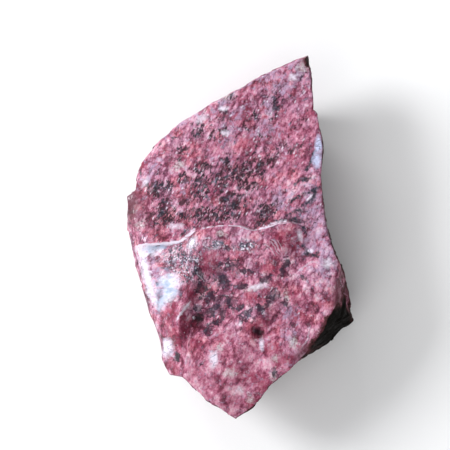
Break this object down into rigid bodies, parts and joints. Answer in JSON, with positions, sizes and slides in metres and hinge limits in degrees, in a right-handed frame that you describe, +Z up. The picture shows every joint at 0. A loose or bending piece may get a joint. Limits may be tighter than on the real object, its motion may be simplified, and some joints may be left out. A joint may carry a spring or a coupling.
{
  "type": "rough rhyolite stone",
  "caption": "Rough broken piece of rose-pink rhyolite with black mineral specks, a flat broad face with a thin raised layer, and dark weathered sides.",
  "frame": {"origin": "centre of the stone's bounding box, on the surface that it rests on", "axes": "+Y along the stone's length towards its sharp tip, +X across it towards the dark corner, +Z up out of the broad face"},
  "size_m": [0.0694, 0.1112, 0.0339],
  "materials": {
    "rhyolite": "rose-pink and crimson crystalline stone with black mineral specks, half-glossy broken faces and a dull dark weathered skin on part of the sides"
  },
  "bodies": {
    "root": {"rhyolite_stone": "rhyolite"}
  },
  "joints": []
}
